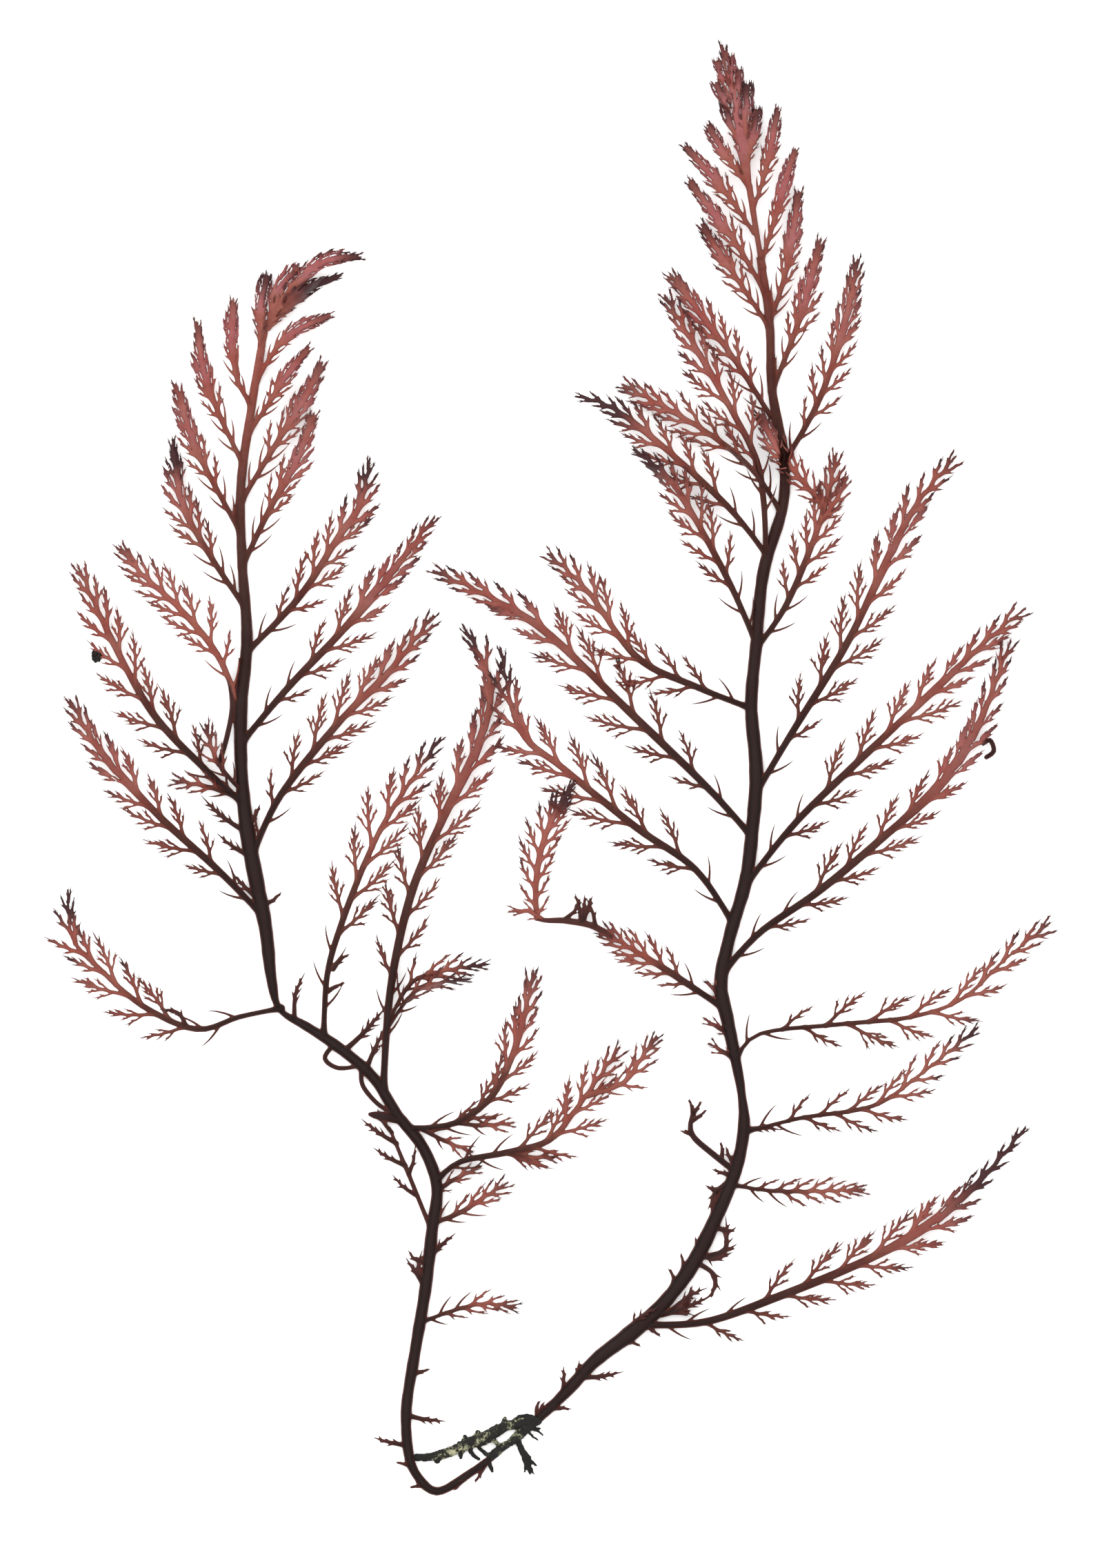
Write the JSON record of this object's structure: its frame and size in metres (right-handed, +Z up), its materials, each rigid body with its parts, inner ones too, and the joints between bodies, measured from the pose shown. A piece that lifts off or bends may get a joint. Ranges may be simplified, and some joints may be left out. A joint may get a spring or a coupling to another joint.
{
  "type": "odonthalia setacea seaweed",
  "caption": "Red seaweed lying flat: two branched fronds with alternate toothed sprays, grown from a short creeping holdfast covered in pale crust.",
  "frame": {"origin": "middle of the plant's box, on the surface that the plant lies on", "axes": "+Z up from that surface, +Y along the fronds from the holdfast to the tips, +X to the right as seen from above"},
  "size_m": [0.0814, 0.119, 0.0032],
  "materials": {
    "left_frond_tissue": "satin, damp red-brown seaweed tissue, rosy and slightly translucent towards the tips",
    "right_frond_tissue": "satin, damp red-brown seaweed tissue, near-black along the main stem",
    "holdfast_crust": "rough pale lime crust over black-green tissue"
  },
  "bodies": {
    "root": {"left_frond": "left_frond_tissue", "right_frond": "right_frond_tissue", "holdfast": "holdfast_crust"}
  },
  "joints": []
}
